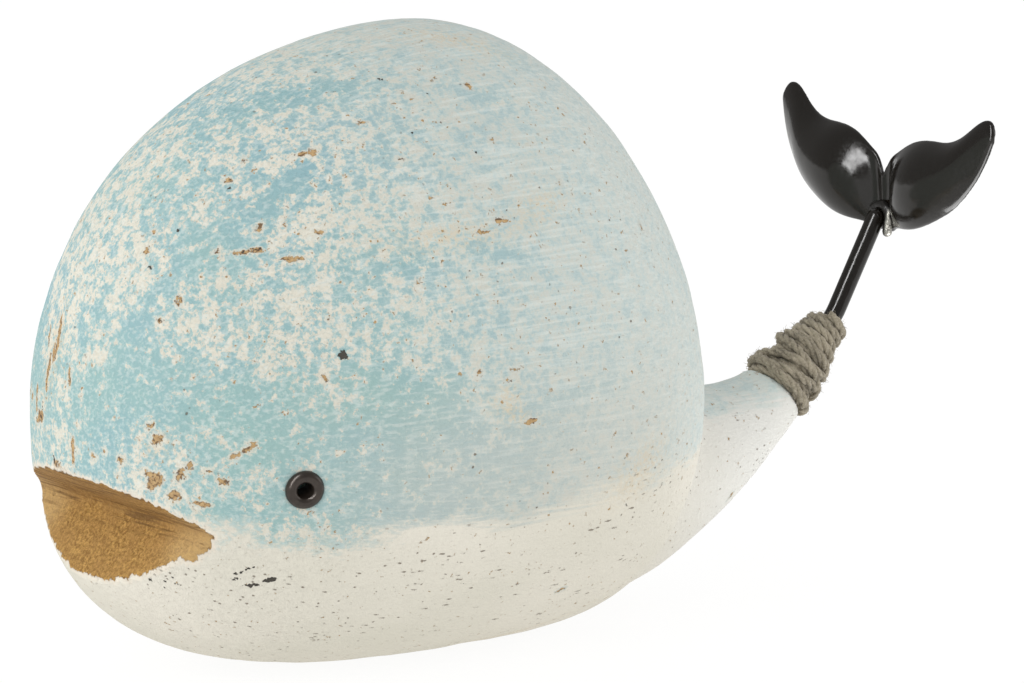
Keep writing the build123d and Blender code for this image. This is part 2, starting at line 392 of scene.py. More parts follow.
def ramp(values, start, end):
    """0 before start, 1 after end, and a smooth rise between."""
    share = np.clip((values - start) / (end - start), 0, 1)
    return share * share * (3 - 2 * share)


# %% How far each corner is from the edge of a mark
farthest = 3.0
ragged_by, ragged_size = 0.55, 1.3
off_skin_share, tiny = 0.2, 1e-6


def mark_distance(marks):
    """Distance in mm to the nearest mark's edge, below nought inside it."""
    nearest = np.full(corner_count, farthest)
    for x, y, half_length, half_width, tilt in marks:
        for centre, normal in both_sides(x, y):
            local = corners - np.array(centre)
            near = np.flatnonzero((local ** 2).sum(axis=1) < (half_length + farthest) ** 2)
            bent = [noise.noise_vector(Vector(corners[index]) / ragged_size) for index in near]
            bent = np.array(bent).reshape(-1, 3) * ragged_by
            local = (local[near] + bent) @ lie_on(normal, tilt)
            local[:, 2] *= off_skin_share
            far = np.linalg.norm(local, axis=1) + tiny
            reach = (half_length, half_width, half_length)
            in_marks = np.linalg.norm(local / reach, axis=1) + tiny
            nearest[near] = np.minimum(nearest[near], far * (1 - 1 / in_marks))
    return nearest


keep_on_corners("bare_mark", mark_distance(bare_marks))
keep_on_corners("dark_mark", mark_distance(dark_marks))

# %% [markdown]
# ## Where the paint is worn
#
# The wear isn't the same all over. The blue is strong on the face, bleaches
# towards the tail and greys low on the flank. The belly was never painted blue,
# and the flakes are denser in some places than in others. Slow changes like
# these are kept on the mesh's corners too, and the shader adds each flake's grain.

# %% Clean, worn, tanned and pored patches
# Each has x and y in the picture, half-length and half-width in mm, and a tilt.
clean_patches = [
    (272, 200, 13, 4.2, 38), (178, 272, 9, 3.5, 48), (135, 335, 8, 3.0, 60),
    (325, 90, 12, 3.5, 22), (240, 258, 9, 2.4, 8), (150, 395, 9, 7.0, 70),
    (245, 400, 15, 5.0, 4), (275, 440, 18, 6.0, 4), (415, 385, 10, 3.0, 8),
    (340, 490, 16, 6.0, 4), (450, 485, 16, 5.5, 5), (600, 388, 13, 1.8, 10),
    (430, 430, 14, 6.0, 5), (540, 445, 14, 8.0, 8), (420, 515, 12, 3.0, 5),
    (492, 95, 8, 3.5, 0), (515, 60, 5, 3.0, -30), (505, 255, 8, 2.0, 0),
    (410, 265, 5, 2.0, 0), (95, 430, 5, 9.0, 0), (225, 515, 5, 2.0, 0),
    (180, 200, 8, 2.5, 50), (722, 387, 5, 2.4, 10), (240, 110, 9, 3.0, 40),
    (100, 300, 9, 2.5, 65),
]
worn_patches = [
    (105, 255, 13, 8.0, 55), (452, 42, 13, 5.0, -4), (375, 42, 9, 4.0, 15),
    (120, 285, 8, 4.5, 55), (215, 165, 10, 2.5, 45), (300, 225, 12, 4.0, 20),
    (210, 320, 10, 4.5, 30), (255, 360, 10, 3.0, -20), (420, 210, 10, 5.0, 20),
    (100, 345, 6, 4.0, 0), (285, 528, 6, 2.0, 0), (160, 445, 5, 3.0, 20),
]
tan_patches = [
    (452, 38, 11, 3.5, -4), (508, 402, 4, 3.0, -50), (525, 418, 4, 1.2, -10),
    (460, 235, 14, 2.5, 14), (540, 205, 6, 3.0, 25), (48, 372, 8, 2.5, 78),
    (157, 443, 3, 2.5, 20), (640, 470, 9, 5.0, 20), (500, 655, 20, 1.5, 8),
]
pore_patches = [
    (345, 583, 13, 5.0, 5), (440, 560, 13, 5.0, 8), (520, 590, 12, 4.0, 10), (470, 642, 14, 2.5, 8),
    (650, 480, 9, 8.0, 25), (620, 250, 8, 12.0, 70), (480, 320, 9, 5.0, 10), (760, 450, 6, 5.0, 30),
    (380, 620, 14, 3.0, 5), (240, 600, 6, 3.0, 10), (166, 575, 4, 2.6, 0), (174, 580, 4, 2.0, 0),
]


def patches(places):
    """Soft patches: 1 in the middle, fading to 0 round them."""
    total = np.zeros(corner_count)
    for x, y, half_length, half_width, tilt in places:
        for centre, normal in both_sides(x, y):
            reach = (half_length, half_width, max(half_length, half_width))
            local = (corners - np.array(centre)) @ lie_on(normal, tilt) / reach
            total += np.exp(-(local ** 2).sum(axis=1))
    return np.clip(total, 0, 1)


# %% Slow changes over the body
# Between which places along the body, or up it, each change comes in, in mm
fade_span, bleach_span, tail_span, crown_span = (-62, -6), (-22, 30), (30, 85), (45, 65)
grey_start, grey_end, grey_heights = (-75, -35), (45, 5), (40, 10)
mean_wear, wear_swing, less_if_clean, more_if_worn = 0.48, 0.2, 0.5, 0.25
most_bleached, most_greyed, unfaded_share = 0.45, 0.45, 0.3

along, up = corners[:, 0], corners[:, 2]
clean = patches(clean_patches)
wear = mean_wear + wear_swing * slow_noise(13) - less_if_clean * clean
keep_on_corners("wear", wear + more_if_worn * patches(worn_patches))
fading = ramp(along, *fade_span) - unfaded_share * clean * ramp(up, *crown_span)
keep_on_corners("fading", np.clip(fading, 0, 1))
keep_on_corners("near_tail", ramp(along, *tail_span))
keep_on_corners("bleached", most_bleached * ramp(along, *bleach_span))
keep_on_corners("tan_tint", patches(tan_patches))
keep_on_corners("pored", patches(pore_patches))
keep_on_corners("tone", 0.5 + 0.7 * slow_noise(24, 1.5))
print("kept on the corners:", ", ".join(kept_names))

# %% The edge of the blue along the belly
belly_edge = [
    (222, 532), (330, 543), (450, 532), (560, 508), (640, 484), (700, 445), (745, 404),
]
edge_wander = 3.2
edge_points = sorted(tuple(surface_at(x, y)[0]) for x, y in belly_edge)
edge_x, _, edge_z = zip(*edge_points)
above_belly = up - np.interp(along, edge_x, edge_z)
keep_on_corners("above_belly", above_belly + edge_wander * slow_noise(9, 3.0))
greyed = ramp(along, *grey_start) * ramp(along, *grey_end)
keep_on_corners("greyed", most_greyed * greyed * ramp(above_belly, *grey_heights))
print("blue ends between", round(edge_z[0]), "and", round(edge_z[-1]), "mm high")

# %% [markdown]
# The mouth is a notch of two saw cuts, never painted. Its edge is torn rather
# than cut, so the shader needs to know how far each corner is from that edge:
# above nought inside the cut, below nought on the painted wood.

# %% Edge of the mouth cut
mouth_corner = np.array([-75.2, 35.8])
lip_angle, chin_angle = math.radians(33), math.radians(37)
lip_normal = np.array([-math.sin(lip_angle), -math.cos(lip_angle)])
chin_normal = np.array([-math.cos(chin_angle), math.sin(chin_angle)])

cut_within, cut_facing = 0.5, 0.9
corner_radius, corner_facing, mouth_size = 2.2, 1.2, 45
section = corners[:, [0, 2]] - mouth_corner
from_corner = np.linalg.norm(section, axis=1)
off_lip, off_chin = section @ lip_normal, section @ chin_normal
toward_lip, toward_chin = normals[:, [0, 2]] @ lip_normal, normals[:, [0, 2]] @ chin_normal
on_lip = (abs(off_lip) < cut_within) & (off_chin > -cut_within) & (toward_lip > cut_facing)
on_chin = (abs(off_chin) < cut_within) & (off_lip > -cut_within) & (toward_chin > cut_facing)
in_corner = (from_corner < corner_radius) & (toward_lip + toward_chin > corner_facing)
edge_reach = 4.0

# The wood is bare a little past the corners of the cut, and paler there
tip_spots, pale_reach = [(207, 533, 2.2), (200, 540, 2.8), (190, 548, 2.4)], 4.5
past_tip = np.full(corner_count, np.inf)
for x, y, radius in tip_spots:
    spot = np.array(surface_at(x, y)[0])
    for side in (1, -1):
        distance = np.linalg.norm(corners - spot * (1, side, 1), axis=1)
        past_tip = np.minimum(past_tip, distance - radius)
in_cut = on_lip | on_chin | in_corner | (past_tip < 0)
keep_on_corners("pale_tip", np.exp(-(np.maximum(past_tip, 0) / pale_reach) ** 2))


def distance_to(chosen, others):
    """How far each of the others is from the nearest chosen corner."""
    tree = KDTree(len(chosen))
    for index in chosen:
        tree.insert(corners[index], int(index))
    tree.balance()
    return np.array([min(tree.find(corners[index])[2], edge_reach) for index in others])


near_mouth = from_corner < mouth_size
inside = np.flatnonzero(in_cut)
outside = np.flatnonzero(near_mouth & ~in_cut)
cut_depth = np.full(corner_count, -edge_reach)
cut_depth[outside] = -distance_to(inside, outside)
cut_depth[inside] = distance_to(outside, inside)
keep_on_corners("cut_depth", cut_depth)
keep_on_corners("below_corner", np.where(near_mouth, np.maximum(off_lip, 0), 0))
print("corners on the mouth cut:", len(inside))

# %% [markdown]
# ## The worn paint
#
# The wood carries a cream ground and a blue coat on it, both chalky and thin.
# Where they are rubbed the blue breaks into lacy flakes, since a coat wears
# first on the high fibres. A noise of many octaves, cut at a threshold, gives
# such ragged edges, and a softer cut gives the thin film of blue round them.

# %% Flaking of the blue
flake_cut, wear_weight, lace_weight, level_drop = 0.53, 0.24, 0.68, 0.45
least_blur, faded_blur, film_width = 0.022, 0.09, 0.1


def flaking(tree, kept, grain):
    """Two masks: where the blue is gone, and where only a film of it is left."""
    level = add(tree, MATH, {
        0: kept["wear"], 1: wear_weight, 2: grain["blots"],
    }, operation="MULTIPLY_ADD")
    level = add(tree, MATH, {0: grain["lace"], 1: lace_weight, 2: level}, operation="MULTIPLY_ADD")
    level = add(tree, MATH, {0: level, 1: level_drop}, operation="SUBTRACT")
    blur = add(tree, MATH, {
        0: kept["fading"], 1: faded_blur, 2: least_blur,
    }, operation="MULTIPLY_ADD")
    low = add(tree, MATH, {0: flake_cut, 1: blur}, operation="SUBTRACT")
    high = add(tree, MATH, {0: flake_cut, 1: blur}, operation="ADD")
    gone = add(tree, RANGE, {"Value": level, "From Min": low, "From Max": high})
    film_low = add(tree, MATH, {0: low, 1: film_width}, operation="SUBTRACT")
    film = add(tree, RANGE, {"Value": level, "From Min": film_low, "From Max": high})
    return gone, film


# %% Colours of the coats
# Each coat drifts between two colours, by one of the numbers kept on the corners
coat_colours = {
    "blue": ("tone", "#8DB1B8", "#94B6B3"), "thin_blue": ("fading", "#B9CDC8", "#C4CDC6"),
    "cream": ("tone", "#E0DCCE", "#D8D4C5"), "belly": ("tone", "#E2DDD0", "#DAD6C8"),
}


def coats(tree, kept, grain, gone, film, blue_zone):
    """Cream ground with what is left of the blue on it."""
    coat = {
        name: add(tree, MIX, {
            "Factor": kept[drift], "A": colour(one), "B": colour(other),
        }, data_type="RGBA")
        for name, (drift, one, other) in coat_colours.items()
    }
    mottle = add(tree, RANGE, {
        "Value": grain["grit"], "From Min": 0.45, "From Max": 0.62, "To Max": 0.5,
    })
    for name, share, toward in [
        ("blue", kept["fading"], "#AABFC0"), ("cream", kept["fading"], "#C5C9C2"),
        ("cream", mottle, "#C8C4B4"), ("belly", kept["near_tail"], "#E3E2DC"),
    ]:
        coat[name] = add(tree, MIX, {
            "Factor": share, "A": coat[name], "B": colour(toward),
        }, data_type="RGBA")
    streaked = add(tree, RANGE, {
        "Value": grain["streaks"], "From Min": 0.5, "From Max": 0.66, "To Max": 0.42,
    })
    fibrous = add(tree, RANGE, {
        "Value": grain["fibres"], "From Min": 0.52, "From Max": 0.75, "To Max": 0.22,
    })
    # The blue, then all that happened to it, in order
    worn = coat["blue"]
    for share, toward in [
        (film, coat["thin_blue"]), (gone, coat["cream"]), (streaked, colour("#D9E0DB")),
        (kept["bleached"], colour("#DDE3DE")), (kept["greyed"], colour("#C8C5BA")),
        (fibrous, colour("#93B2B8")),
    ]:
        worn = add(tree, MIX, {"Factor": share, "A": worn, "B": toward}, data_type="RGBA")
    paint = add(tree, MIX, {"Factor": blue_zone, "A": coat["belly"], "B": worn}, data_type="RGBA")
    return paint, coat["cream"]


# %% [markdown]
# Bare wood shows at the placed chips and at small ones where the blue is gone.
# Pores and short checks in the wood stay open under so thin a coat. They come
# in crowds, so a cell pattern keeps only some cells, and only in some places.

# %% Chips, pores and checks
chip_wander, chip_level = 2.0, -1.9


def chips(tree, kept, grain, gone):
    """Masks of bare wood, of the cream rim round it, and of dark grain in it."""
    ragged = add(tree, MATH, {
        0: grain["grit"], 1: chip_wander, 2: chip_level,
    }, operation="MULTIPLY_ADD")
    ragged = add(tree, MATH, {0: grain["chips"], 1: chip_wander, 2: ragged}, operation="MULTIPLY_ADD")
    ragged = add(tree, MATH, {0: kept["bare_mark"], 1: ragged}, operation="ADD")
    bare = add(tree, RANGE, {"Value": ragged, "From Min": 0.06, "From Max": -0.06})
    rim = add(tree, RANGE, {
        "Value": ragged, "From Min": 1.0, "From Max": 0.4, "To Max": 0.8,
    })
    small = add(tree, MATH, {0: grain["chips"], 1: grain["lace"]}, operation="ADD")
    small = add(tree, RANGE, {"Value": small, "From Min": 1.22, "From Max": 1.26})
    small = add(tree, MATH, {0: small, 1: gone}, operation="MULTIPLY")
    specks = add(tree, RANGE, {
        "Value": grain["fibres"], "From Min": 0.53, "From Max": 0.6, "To Max": 0.8,
    })
    edges = add(tree, RANGE, {"Value": ragged, "From Min": 0.35, "From Max": 0.05})
    specks = add(tree, MATH, {0: specks, 1: edges}, operation="MULTIPLY")
    return add(tree, MATH, {0: bare, 1: small}, operation="MAXIMUM"), rim, specks


uneven_size, uneven_share = 0.6, 2.6
crowd_cells, crowd_pull = 6, 0.3


def open_cells(tree, place, kept, size, length, share, radius):
    """Mask of small holes: some cells of a pattern, drawn out along the grain."""
    drawn = add(tree, MAPPING, {"Vector": place, "Scale": (1 / length, 1, 1)})
    cells = add(tree, VORONOI, {"Vector": drawn, "Scale": 1 / size})
    chance = add(tree, "ShaderNodeSeparateColor", {"Color": cells.outputs["Color"]})
    chosen = add(tree, MATH, {0: chance, 1: share}, operation="LESS_THAN")
    uneven = add(tree, NOISE, {"Vector": place, "Scale": 1 / uneven_size, "Detail": 2.0})
    shape = add(tree, MATH, {
        0: uneven, 1: radius * uneven_share, 2: cells.outputs["Distance"],
    }, operation="MULTIPLY_ADD")
    hole = add(tree, RANGE, {
        "Value": shape, "From Min": radius * 2.2, "From Max": radius * 1.7,
    })
    crowd = add(tree, NOISE, {
        "Vector": place, "Scale": 1 / (size * crowd_cells), "Detail": 1.0,
    })
    crowd = add(tree, MATH, {0: kept["pored"], 1: crowd_pull, 2: crowd}, operation="MULTIPLY_ADD")
    crowded = add(tree, RANGE, {"Value": crowd, "From Min": 0.53, "From Max": 0.62})
    hole = add(tree, MATH, {0: hole, 1: chosen}, operation="MULTIPLY")
    return add(tree, MATH, {0: hole, 1: crowded}, operation="MULTIPLY")


# %% Raw wood of the mouth
torn_size, torn_by = 0.75, 3.6
suede_size, blotch_size, saw_size = 0.7, 6, 0.8


def mouth_wood(tree, place, kept):
    """Masks of raw wood and of its pale rim, and the wood's colour and height."""
    drawn = add(tree, MAPPING, {"Vector": place, "Scale": (1, 1, 0.45)})
    torn = add(tree, NOISE, {
        "Vector": drawn, "Scale": 1 / torn_size, "Detail": 5.0, "Roughness": 0.65,
    })
    torn = add(tree, MATH, {0: torn, 1: torn_by, 2: -torn_by / 2}, operation="MULTIPLY_ADD")
    torn = add(tree, MATH, {0: kept["cut_depth"], 1: torn}, operation="ADD")
    raw = add(tree, RANGE, {"Value": torn, "From Min": -0.5, "From Max": -0.1})
    rim = add(tree, RANGE, {"Value": torn, "From Min": -1.7, "From Max": -0.9})
    suede = add(tree, NOISE, {
        "Vector": place, "Scale": 1 / suede_size, "Detail": 4.0, "Roughness": 0.72,
    })
    tufts = add(tree, RANGE, {"Value": suede, "From Min": 0.4, "From Max": 0.62})
    blotches = add(tree, NOISE, {"Vector": place, "Scale": 1 / blotch_size, "Detail": 2.0})
    blotches = add(tree, RANGE, {
        "Value": blotches, "From Min": 0.38, "From Max": 0.62, "To Max": 0.45,
    })
    pale = add(tree, MATH, {0: kept["pale_tip"], 1: 0.5}, operation="MULTIPLY")
    # The underside of the lip gets painted shade, and saw marks run along its corner
    below = kept["below_corner"]
    painted_lip_shade = add(tree, RANGE, {
        "Value": below, "From Min": 1.6, "From Max": 0.3, "To Max": 0.3,
    })
    drawn = add(tree, MAPPING, {"Vector": place, "Scale": (1, 0.06, 1)})
    saw = add(tree, NOISE, {"Vector": drawn, "Scale": 1 / saw_size, "Detail": 2.0})
    saw = add(tree, RANGE, {"Value": saw, "From Min": 0.52, "From Max": 0.62})
    near = add(tree, RANGE, {"Value": below, "From Min": 5.0, "From Max": 2.0, "To Max": 0.7})
    saw = add(tree, MATH, {0: saw, 1: near}, operation="MULTIPLY")
    # The dark brown for the lip's underside is painted shade, not a darker wood
    wood = colour("#8E662B")
    for share, toward in [
        (tufts, "#D0A45A"), (blotches, "#B0864A"), (pale, "#D6B57E"),
        (painted_lip_shade, "#855E31"), (saw, "#6B4A22"),
    ]:
        wood = add(tree, MIX, {"Factor": share, "A": wood, "B": colour(toward)}, data_type="RGBA")
    height = add(tree, MATH, {0: suede, 1: 0.5, 2: -0.45}, operation="MULTIPLY_ADD")
    return raw, rim, wood, height


# %% [markdown]
# The layers are put together in the order that they were made in: ground and
# blue, then chips, pores and cracks, then the cut of the mouth. Each coat is
# also a small step in the bump, so that the flakes catch the light.

# %% Chalk paint, rubbed back
# Noises that the layers share: size in mm, octaves and roughness
grains = {
    "blots": (2.7, 7.0, 0.62), "lace": (0.9, 4.0, 0.6),
    "chips": (1.9, 5.0, 0.68), "grit": (0.55, 3.0, 0.5),
}
# Brush streaks and wood fibres run along the body: scale of each axis, and size in mm
drawn_grains = {"streaks": ((0.035, 0.8, 1), 0.75), "fibres": ((0.1, 1, 1), 0.55)}


def worn_paint():
    """Chalky blue over a cream ground on carved wood, rubbed back by hand."""
    material, tree, shader = new_material("chalk_paint_rubbed_back_on_carved_wood")
    metres = add(tree, "ShaderNodeTexCoord").outputs["Object"]
    place = add(tree, VECTOR, {0: metres, "Scale": 1 / MM}, operation="SCALE")
    kept = {name: add(tree, STORED, attribute_name=name).outputs["Fac"] for name in kept_names}
    grain = {
        name: add(tree, NOISE, {
            "Vector": place, "Scale": 1 / size, "Detail": octaves, "Roughness": roughness,
        })
        for name, (size, octaves, roughness) in grains.items()
    }
    for name, (stretch, size) in drawn_grains.items():
        drawn = add(tree, MAPPING, {"Vector": place, "Scale": stretch})
        grain[name] = add(tree, NOISE, {"Vector": drawn, "Scale": 1 / size, "Detail": 2.0})

    above = kept["above_belly"]
    edge = add(tree, MATH, {0: grain["streaks"], 1: 8.0, 2: above}, operation="MULTIPLY_ADD")
    blue_zone = add(tree, RANGE, {"Value": edge, "From Min": 2.4, "From Max": 5.8})
    gone, film = flaking(tree, kept, grain)
    paint, cream = coats(tree, kept, grain, gone, film, blue_zone)
    tan = add(tree, RANGE, {
        "Value": grain["lace"], "From Min": 0.4, "From Max": 0.65, "To Max": 0.65,
    })
    tan = add(tree, MATH, {0: kept["tan_tint"], 1: tan}, operation="MULTIPLY")
    bare, rim, specks = chips(tree, kept, grain, gone)
    wood = add(tree, MIX, {
        "Factor": grain["grit"], "A": colour("#DABB8A"), "B": colour("#866136"),
    }, data_type="RGBA")

    pores = open_cells(tree, place, kept, size=1.9, length=1.0, share=0.4, radius=0.15)
    checks = open_cells(tree, place, kept, size=0.95, length=4.5, share=0.55, radius=0.24)
    low_down = add(tree, RANGE, {"Value": above, "From Min": 4.0, "From Max": -4.0})
    checks = add(tree, MATH, {0: checks, 1: low_down}, operation="MULTIPLY")
    holes = add(tree, MATH, {0: pores, 1: checks}, operation="MAXIMUM")
    dark_holes = add(tree, MATH, {0: holes, 1: 0.75}, operation="MULTIPLY")
    dents = add(tree, MATH, {
        0: grain["grit"], 1: 1.5, 2: kept["dark_mark"],
    }, operation="MULTIPLY_ADD")
    dents = add(tree, RANGE, {"Value": dents, "From Min": 0.72, "From Max": 0.58})
    raw, raw_rim, raw_wood, nap = mouth_wood(tree, place, kept)
    for share, toward in [
        (tan, colour("#D5C3A4")), (rim, cream), (bare, wood), (specks, colour("#5F4630")),
        (dark_holes, colour("#6E5C48")), (dents, colour("#45413A")),
        (raw_rim, colour("#E4DBCB")), (raw, raw_wood),
    ]:
        paint = add(tree, MIX, {"Factor": share, "A": paint, "B": toward}, data_type="RGBA")

    # Heights in mm: what a coat adds, what a chip or a hole takes away
    height = 0.0
    for mask, step in [
        (gone, -0.07), (bare, -0.16), (holes, -0.22), (dents, -0.4),
        (grain["streaks"], 0.14), (grain["lace"], 0.42), (raw, nap),
    ]:
        height = add(tree, MATH, {0: mask, 1: step, 2: height}, operation="MULTIPLY_ADD")
    bump = add(tree, BUMP, {"Height": height, "Distance": MM})
    plug(tree, shader, {
        "Base Color": paint, "Normal": bump,
        "Roughness": 0.78, "IOR": 1.5, "Specular IOR Level": 0.35,
    })
    return material


hand_in(carved_body, "painted_wood", worn_paint(), "body")

# %% [markdown]
# ## Black metal tail
#
# The rod and the fluke were dipped in black enamel, which rounds every edge and
# pools a little. The sheet's copy is remeshed and relaxed, so its rim turns
# over softly, and the enamel has an even gloss with a slow ripple. So smooth a
# curve needs fewer faces than the relaxing did, so some are dropped again.

# %% Enamel, bead with painted glint, and eyelet finishes
def black_enamel():
    """Dipped gloss enamel on steel: black, smooth, rippled as a poured coat is."""
    material, tree, shader = new_material("dipped_black_gloss_enamel")
    place = add(tree, "ShaderNodeTexCoord").outputs["Object"]
    ripple = add(tree, NOISE, {"Vector": place, "Scale": 1 / (5 * MM), "Detail": 2.0})
    dust = add(tree, NOISE, {"Vector": place, "Scale": 1 / (0.8 * MM), "Detail": 3.0})
    gloss = add(tree, RANGE, {
        "Value": dust, "From Min": 0.35, "From Max": 0.7, "To Min": 0.12, "To Max": 0.25,
    })
    bump = add(tree, BUMP, {"Height": ripple, "Distance": 0.1 * MM})
    plug(tree, shader, {
        "Base Color": colour("#15110C"), "Roughness": gloss, "Normal": bump, "IOR": 1.5,
    })
    return material


def bead_with_painted_glint():
    """Weld metal: black, and bare light grey on one side, which is partly a painted highlight; satin,
    with fine ripples.
    """
    material, tree, shader = new_material("weld_metal_with_painted_glint")
    place = add(tree, "ShaderNodeTexCoord").outputs["Object"]
    ripple = add(tree, NOISE, {"Vector": place, "Scale": 1 / (0.5 * MM), "Detail": 3.0})
    sides = add(tree, "ShaderNodeSeparateXYZ", {"Vector": place})
    # Light grey bare metal only on the minus Y side, where the bead's crescent glints: partly real
    # bare metal, partly a painted highlight
    bare = add(tree, RANGE, {
        "Value": sides.outputs["Y"], "From Min": -2.8 * MM, "From Max": -3.3 * MM,
    })
    shade = add(tree, MIX, {
        "Factor": bare, "A": colour("#1A1714"), "B": colour("#98968F"),
    }, data_type="RGBA")
    bump = add(tree, BUMP, {"Height": ripple, "Distance": 0.08 * MM})
    plug(tree, shader, {
        "Base Color": shade, "Metallic": bare, "Normal": bump, "Roughness": 0.4,
    })
    return material


def blackened_brass():
    """Stamped brass, blackened: dark and glossy, a little warmer where rubbed."""
    material, tree, shader = new_material("blackened_brass")
    place = add(tree, "ShaderNodeTexCoord").outputs["Object"]
    stain = add(tree, NOISE, {"Vector": place, "Scale": 1 / (1.2 * MM), "Detail": 4.0})
    shade = add(tree, MIX, {
        "Factor": stain, "A": colour("#28231F"), "B": colour("#463D36"),
    }, data_type="RGBA")
    bump = add(tree, BUMP, {"Height": stain, "Distance": 0.05 * MM})
    plug(tree, shader, {
        "Base Color": shade, "Normal": bump, "Metallic": 0.4, "Roughness": 0.28,
    })
    return material


# %% Tail metal and eyes
def relaxed(piece, name, passes, kept):
    """Relax a mesh, so that its edges turn over softly, then keep a share of its faces."""
    soft = piece.modifiers.new("soft_edges", "SMOOTH")
    soft.factor = 0.5
    soft.iterations = passes
    thinner = piece.modifiers.new("fewer_faces", "DECIMATE")
    thinner.ratio = kept
    return settle(piece, name)


def creased_copy(node, name, crease=40):
    """A copy of a turned or bent solid, smooth except at its real edges."""
    piece = merged_copy(node, name)
    piece.data.shade_smooth()
    piece.data.set_sharp_from_angle(angle=math.radians(crease))
    return piece


enamel = black_enamel()
hand_in(creased_copy("tail_rod", "bent_rod"), "black_metal", enamel, "tail_rod")
sheet_cell, sheet_passes, faces_kept = 0.16 * MM, 70, 0.55
sheet = even_squares(merged_copy("fluke", "exact_fluke"), sheet_cell)
sheet = relaxed(sheet, "domed_fluke", sheet_passes, faces_kept)
hand_in(sheet, "black_metal", enamel, "fluke")
bead_cell, bead_depth, bead_size = 0.15 * MM, 0.4 * MM, 1.1 * MM
bead = even_squares(merged_copy("tail_weld", "exact_bead"), bead_cell)
bead = roughen(bead, "weld_bead", bead_depth, bead_size)
hand_in(bead, "weld_metal", bead_with_painted_glint(), "tail_weld")

eyelet_finish = blackened_brass()
for side in ("left", "right"):
    eyelet = creased_copy(f"eyelet_{side}", f"pressed_eyelet_{side}")
    hand_in(eyelet, "eyelet_bronze", eyelet_finish, f"eyelet_{side}")

# %% [markdown]
# ## The binding
#
# The binding is jute twine of three plies, wound tight from the wood up onto
# the rod, then crossed over itself on the way back. A cord's line is easy to
# write as an angle and a height. Geometry Nodes lay three twisted plies round
# that line, and set short stray fibres on them.

# %% The line of the cord
spigot_length, spigot_root, spigot_tip = 12.0, 5.6, 3.6
rod_radius = 2.0
cord_radius = 0.95
shoulder = Vector((92.1, 0.0, 37.7))
binding_tilt = math.radians(40.3)
binding_axis = Vector((math.cos(binding_tilt), 0, math.sin(binding_tilt)))
binding_side = Vector((0, 1, 0))
binding_out = binding_axis.cross(binding_side)


def core_radius(height):
    """Radius of what the cord lies on: spigot first, then the rod."""
    if height < spigot_length:
        return spigot_root + (spigot_tip - spigot_root) * height / spigot_length
    drop = min((height - spigot_length) / 4, 1)
    return spigot_tip + (rod_radius - spigot_tip) * drop


def cord_point(turns, height, layer):
    """A place on the binding, in metres. The hand that wound it wasn't even."""
    unsteady = 0.25 * noise.noise(Vector((turns * 2.1, layer * 3.0, 0.5)))
    radius = core_radius(height) + cord_radius * (0.95 + 1.5 * layer + unsteady)
    angle = 2 * math.pi * turns
    spoke = binding_side * math.cos(angle) + binding_out * math.sin(angle)
    return (shoulder + binding_axis * (height + 1.2 * unsteady) + spoke * radius) * MM


def cord_line(stations, steps_per_turn=30):
    """Points of a cord through stations of turns, height and layer."""
    points = []
    for here, there in zip(stations, stations[1:]):
        steps = max(2, round((there[0] - here[0]) * steps_per_turn))
        for step in range(steps):
            share = step / steps
            points.append(cord_point(*(a + (b - a) * share for a, b in zip(here, there))))
    points.append(cord_point(*stations[-1]))
    return points


binding_passes = [
    cord_line([(0.1, 0.9, 0), (3.0, 5.8, 0), (6.2, 11.9, 0), (10.9, 20.9, 0)]),
    cord_line([
        (0.35, 20.6, 0.5), (2.3, 16.6, 0.9), (4.1, 12.6, 0.6), (4.6, 11.2, 1), (5.35, 1.8, 1),
        (5.9, 1.4, 1), (6.75, 10.8, 1.1), (7.1, 11.4, 1.1), (7.9, 3.2, 1.2), (8.3, 2.6, 1.1),
        (9.1, 12.2, 1), (9.5, 13.2, 0.2),
    ]),
]
binding_line = bpy.data.curves.new("binding_line", "CURVE")
binding_line.dimensions = "3D"
for points in binding_passes:
    spline = binding_line.splines.new("POLY")
    spline.points.add(len(points) - 1)
    spline.points.foreach_set("co", [value for point in points for value in (*point, 1.0)])
cord_length = sum((b - a).length for run in binding_passes for a, b in zip(run, run[1:]))
print(f"binding: {cord_length / MM:.0f} mm of cord")

# %% [markdown]
# Each ply circles the cord's line once in a lay of a few millimetres. The tree
# offsets the same curve three times, a third of a turn apart, and sweeps a small
# ring along each. Loose yarn swells and shrinks, so a noise moves its surface.

